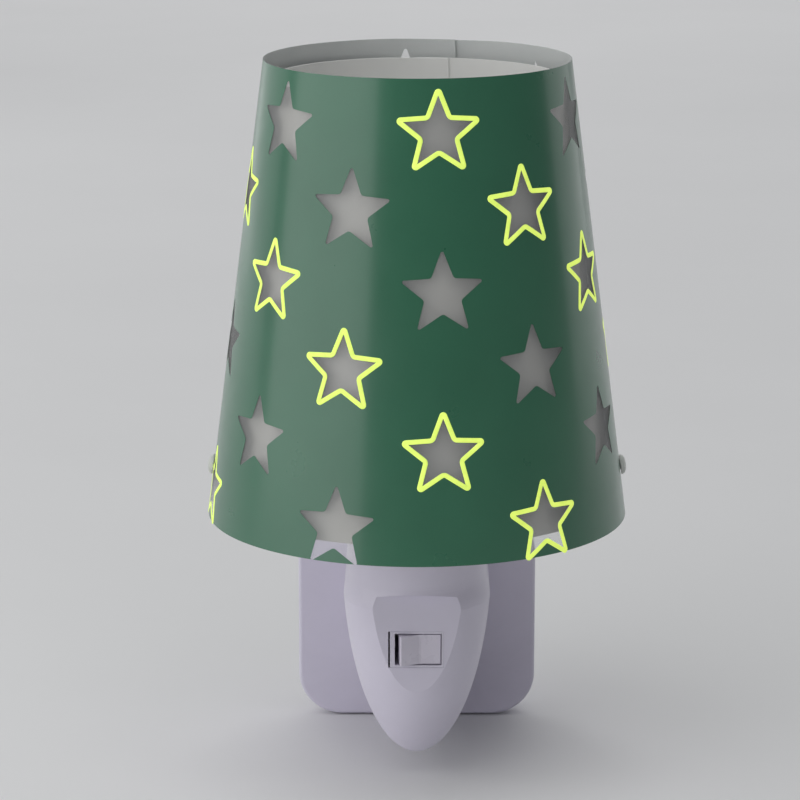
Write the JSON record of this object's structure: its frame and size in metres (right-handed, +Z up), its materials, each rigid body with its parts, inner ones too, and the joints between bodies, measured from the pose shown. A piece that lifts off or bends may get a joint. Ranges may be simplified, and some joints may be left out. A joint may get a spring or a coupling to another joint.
{
  "type": "plug-in night light",
  "caption": "Plug-in night light: tapered film shade with star windows on a screw-base lampholder, a small rocker switch and a two-pin plug block.",
  "frame": {"origin": "centre of the plug block's end face, midway between the two pins", "axes": "+Y along the pins into the socket, +Z up along the lamp, +X to the right as seen from the wall side's opposite, the front"},
  "size_m": [0.1, 0.138, 0.1754],
  "materials": {
    "shell_plastic": "satin moulded, faintly lavender white",
    "rocker_plastic": "smooth moulded",
    "switch_plastic": "smooth moulded",
    "pin_metal": "nickel plated",
    "sleeve_plastic": "moulded",
    "screw_steel": "zinc plated",
    "holder_plastic": "moulded",
    "brass": "stamped",
    "spring_steel": "drawn wire",
    "wire_brown": "insulation",
    "wire_blue": "insulation",
    "film_print": "clear film printed green, star windows, pale glowing outlines",
    "liner_film": "white film",
    "carrier_plastic": "moulded",
    "rivet_plastic": "moulded",
    "cap_metal": "rolled thread",
    "insulator_glass": "black glass",
    "bulb_plastic": "white",
    "diffuser": "opal",
    "board": "white solder resist",
    "chip": "phosphor"
  },
  "bodies": {
    "base": {"rear_cover": "shell_plastic", "front_housing": "shell_plastic", "plug_pin_left": "pin_metal", "plug_pin_right": "pin_metal", "pin_sleeve_left": "sleeve_plastic", "pin_sleeve_right": "sleeve_plastic", "housing_screws": "screw_steel", "lampholder_body": "holder_plastic", "lampholder_shell": "brass", "lampholder_contact": "brass", "switch_frame": "switch_plastic", "terminal_common": "brass", "terminal_switched": "brass", "wire_live": "wire_brown", "wire_switched": "wire_brown", "wire_neutral": "wire_blue"},
    "rocker": {"switch_rocker": "rocker_plastic", "switch_plunger": "switch_plastic", "switch_spring": "spring_steel"},
    "blade": {"switch_blade": "brass"},
    "bulb": {"bulb_cap": "cap_metal", "bulb_insulator": "insulator_glass", "bulb_contact": "brass", "bulb_housing": "bulb_plastic", "bulb_diffuser": "diffuser", "led_board": "board", "led_chips": "chip"},
    "shade": {"shade_outer": "film_print", "shade_liner": "liner_film", "shade_carrier": "carrier_plastic", "shade_rivets": "rivet_plastic", "rivet_spacers": "rivet_plastic"}
  },
  "joints": [
    {"name": "rocker_tilt", "type": "hinge", "parent": "base", "child": "rocker", "pos_m": [0.00035, -0.08095, 0.0091], "axis": [0, 0, 1], "range_deg": [-24, 0]},
    {"name": "blade_tilt", "type": "hinge", "parent": "base", "child": "blade", "pos_m": [0.00035, -0.07515, 0.0091], "axis": [0, 0, 1], "range_deg": [0, 14]},
    {"name": "bulb_out", "type": "slide", "parent": "base", "child": "bulb", "axis": [0, 0, 1], "range_m": [0, 0.11]},
    {"name": "shade_lift", "type": "slide", "parent": "base", "child": "shade", "axis": [0, 0, 1], "range_m": [0, 0.08]}
  ],
  "couplings": [
    {"joint": "blade_tilt", "follows": "rocker_tilt", "ratio": -0.58333}
  ]
}
